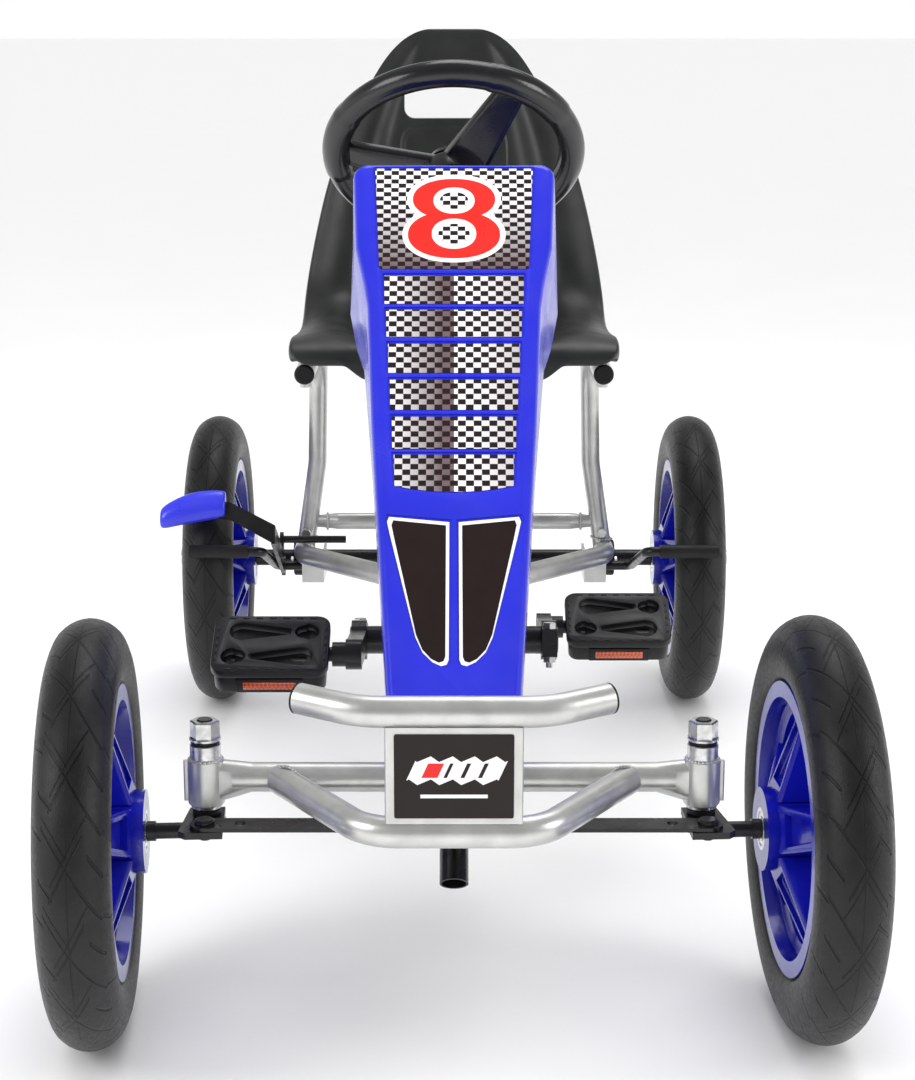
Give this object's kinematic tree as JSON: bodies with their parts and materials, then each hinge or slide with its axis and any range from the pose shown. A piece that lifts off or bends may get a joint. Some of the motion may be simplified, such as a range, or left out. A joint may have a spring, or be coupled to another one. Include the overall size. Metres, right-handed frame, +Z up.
{
  "type": "pedal go kart",
  "caption": "Child's pedal go kart: tube frame on spoked wheels, chain-driven rear axle, tie-rod steering, bucket seat, hand brake and front hood.",
  "frame": {"origin": "on the ground, under the middle of the kart's bounding box", "axes": "+Z up, -Y the way the kart drives, +X the driver's left"},
  "size_m": [0.6242, 1.1715, 0.739],
  "materials": {
    "tyre": "satin",
    "rim": "gloss",
    "bearing": "satin",
    "frame_paint": "satin",
    "black_paint": "gloss",
    "zinc": "satin",
    "chrome": "polished",
    "black_plastic": "matte",
    "gloss_black": "gloss",
    "grey_plastic": "matte",
    "blue_plastic": "gloss",
    "plate_label": "gloss",
    "brake_rubber": "matte",
    "chain_steel": "oiled",
    "sleeve_steel": "satin"
  },
  "bodies": {
    "frame": {"front_crossbar": "frame_paint", "kingpin_sleeves": "sleeve_steel", "lower_bumper": "frame_paint", "upper_bumper": "frame_paint", "number_plate_box": "frame_paint", "number_plate": "plate_label", "main_beam": "frame_paint", "rear_hoop": "frame_paint", "column_bearings": "frame_paint", "column_stay": "frame_paint", "seat_tube_left": "frame_paint", "seat_tube_right": "frame_paint", "rear_cross_brace": "frame_paint", "tube_caps": "black_plastic", "axle_brackets": "frame_paint", "axle_bearings": "black_plastic", "frame_bolts": "zinc", "crank_housing": "black_paint", "crank_bushes": "black_plastic", "chain": "chain_steel", "chain_guard": "black_plastic", "hood": "blue_plastic", "hood_brackets": "frame_paint", "seat": "grey_plastic", "seat_bolts": "zinc"},
    "steering": {"steering_column": "black_paint", "steering_wheel": "gloss_black", "steering_hub_cap": "gloss_black"},
    "knuckle_left": {"stub_axle_left": "black_paint", "knuckle_nuts_left": "chrome", "kingpin_seals_left": "black_plastic"},
    "knuckle_right": {"stub_axle_right": "black_paint", "knuckle_nuts_right": "chrome", "kingpin_seals_right": "black_plastic"},
    "tie_rod": {"tie_rod": "black_paint", "tie_rod_bolts": "black_paint"},
    "front_wheel_left": {"tyre_front_left": "tyre", "rim_front_left": "rim", "wheel_bearings_front_left": "bearing"},
    "front_wheel_right": {"tyre_front_right": "tyre", "rim_front_right": "rim", "wheel_bearings_front_right": "bearing"},
    "rear_axle": {"rear_axle": "black_paint", "rear_sprocket": "chain_steel", "axle_nuts": "chrome", "tyre_rear_right": "tyre", "rim_rear_right": "rim"},
    "rear_wheel_left": {"tyre_rear_left": "tyre", "rim_rear_left": "rim", "wheel_bearings_rear_left": "bearing"},
    "crank": {"crank_axle": "black_paint", "chainring": "chain_steel", "crank_arms": "black_paint", "crank_bolts": "chrome"},
    "pedal_left": {"pedal_left": "black_plastic"},
    "pedal_right": {"pedal_right": "black_plastic"},
    "brake": {"brake_rod": "black_paint", "brake_lever": "black_paint", "brake_grip": "blue_plastic", "brake_sleeves": "brake_rubber"}
  },
  "joints": [
    {"name": "steering", "type": "hinge", "parent": "frame", "child": "steering", "pos_m": [0, -0.403, 0.108], "axis": [0, 0.6756, 0.7373], "range_deg": [-19.2, 12.8]},
    {"name": "kingpin_left", "type": "hinge", "parent": "frame", "child": "knuckle_left", "pos_m": [0.183, -0.4219, 0.2], "axis": [0, 0, 1], "range_deg": [-19.2, 12.8]},
    {"name": "kingpin_right", "type": "hinge", "parent": "frame", "child": "knuckle_right", "pos_m": [-0.183, -0.4219, 0.2], "axis": [0, 0, 1], "range_deg": [-19.2, 12.8]},
    {"name": "tie_rod_pivot", "type": "hinge", "parent": "knuckle_left", "child": "tie_rod", "pos_m": [0.18468, -0.45185, 0.173], "axis": [0, 0, 1], "range_deg": [-12.8, 19.2]},
    {"name": "front_left_spin", "type": "hinge", "parent": "knuckle_left", "child": "front_wheel_left", "pos_m": [0.26787, -0.41715, 0.1585], "axis": [0.9984, 0.0558, 0], "continuous": true},
    {"name": "front_right_spin", "type": "hinge", "parent": "knuckle_right", "child": "front_wheel_right", "pos_m": [-0.26787, -0.42664, 0.1585], "axis": [0.9984, 0.0558, 0], "continuous": true},
    {"name": "rear_axle_spin", "type": "hinge", "parent": "frame", "child": "rear_axle", "pos_m": [0, 0.4281, 0.1585], "axis": [1, 0, 0], "continuous": true},
    {"name": "rear_left_spin", "type": "hinge", "parent": "rear_axle", "child": "rear_wheel_left", "pos_m": [0.262, 0.4281, 0.1585], "axis": [1, 0, 0], "continuous": true},
    {"name": "crank_spin", "type": "hinge", "parent": "frame", "child": "crank", "pos_m": [0, -0.138, 0.224], "axis": [1, 0, 0], "continuous": true},
    {"name": "pedal_left_spin", "type": "hinge", "parent": "crank", "child": "pedal_left", "pos_m": [0.088, -0.03444, 0.20667], "axis": [1, 0, 0], "continuous": true},
    {"name": "pedal_right_spin", "type": "hinge", "parent": "crank", "child": "pedal_right", "pos_m": [-0.088, -0.24156, 0.24133], "axis": [1, 0, 0], "continuous": true},
    {"name": "brake", "type": "hinge", "parent": "frame", "child": "brake", "pos_m": [0, 0.388, 0.159], "axis": [-1, 0, 0], "range_deg": [0, 14]}
  ],
  "couplings": [
    {"joint": "kingpin_left", "follows": "steering", "ratio": 1},
    {"joint": "kingpin_right", "follows": "steering", "ratio": 1},
    {"joint": "tie_rod_pivot", "follows": "steering", "ratio": -1},
    {"joint": "crank_spin", "follows": "rear_axle_spin", "ratio": 0.58333}
  ]
}
